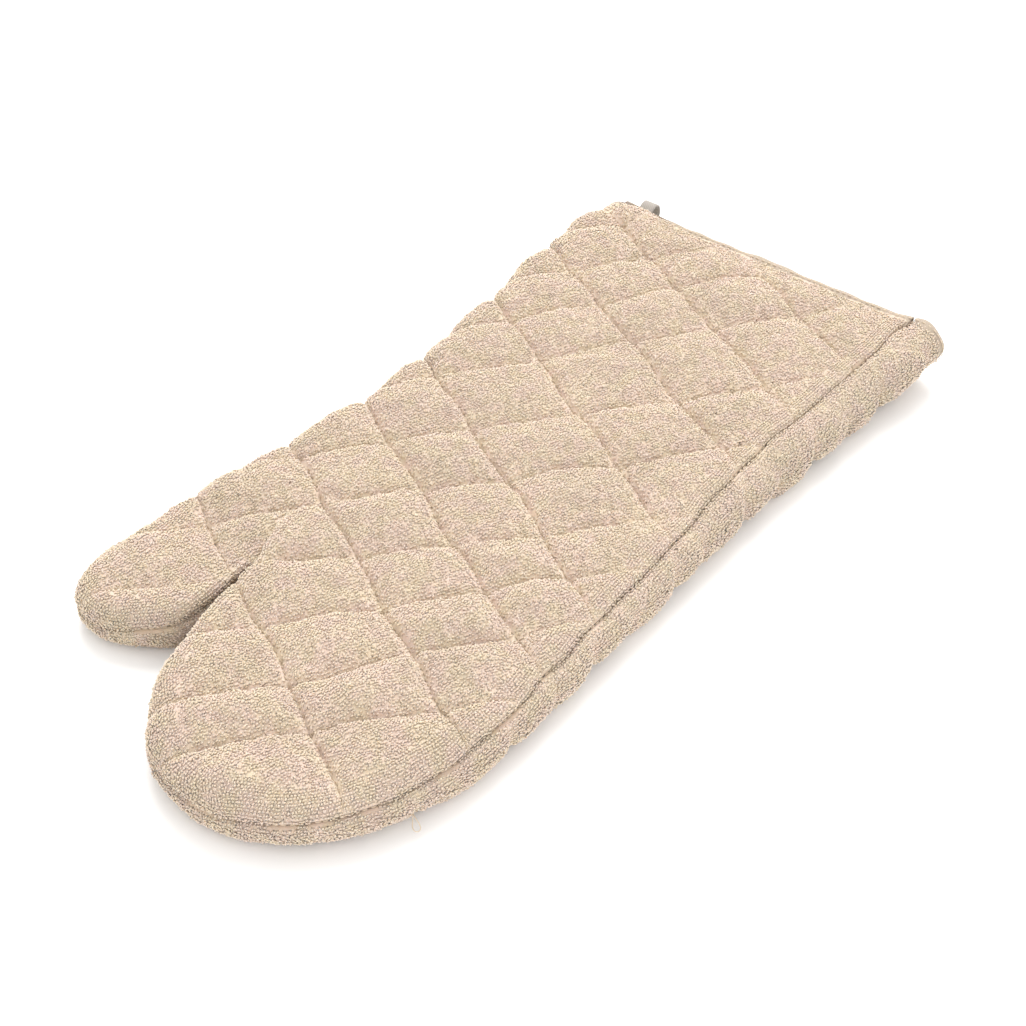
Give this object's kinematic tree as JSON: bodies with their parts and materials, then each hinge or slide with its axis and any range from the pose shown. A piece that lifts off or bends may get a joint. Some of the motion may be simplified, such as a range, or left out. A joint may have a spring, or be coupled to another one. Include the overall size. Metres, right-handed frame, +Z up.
{
  "type": "oven mitt",
  "caption": "Quilted terry oven mitt with batting and lining, a side seam round hand and thumb, a bound cuff and a tape loop that swings to hang it up.",
  "frame": {"origin": "middle of the bounds, on the surface that the mitt lies on", "axes": "+Y from the fingertips to the cuff, +X across the palm away from the thumb, +Z up through the front panel"},
  "size_m": [0.2064, 0.4508, 0.0299],
  "materials": {
    "terry": "looped cotton terry, unbleached",
    "batting": "needled cotton wadding",
    "lining": "plain woven cotton",
    "binding": "smooth woven cotton tape",
    "thread": "spun sewing thread",
    "loop_tape": "herringbone cotton tape"
  },
  "bodies": {
    "mitt": {"front_terry_panel": "terry", "front_batting": "batting", "front_lining": "lining", "front_quilting_thread": "thread", "front_cuff_binding": "binding", "front_binding_thread": "thread", "back_terry_panel": "terry", "back_batting": "batting", "back_lining": "lining", "back_quilting_thread": "thread", "back_cuff_binding": "binding", "back_binding_thread": "thread", "side_seam_thread": "thread", "seam_overlock_thread": "thread", "hanging_loop_root": "loop_tape", "loop_bartack_thread": "thread"},
    "loop": {"hanging_loop": "loop_tape"}
  },
  "joints": [
    {"name": "loop_swing", "type": "hinge", "parent": "mitt", "child": "loop", "pos_m": [-0.0743, 0.2068, 0.011], "axis": [1, 0, 0], "range_deg": [-25, 60]}
  ]
}
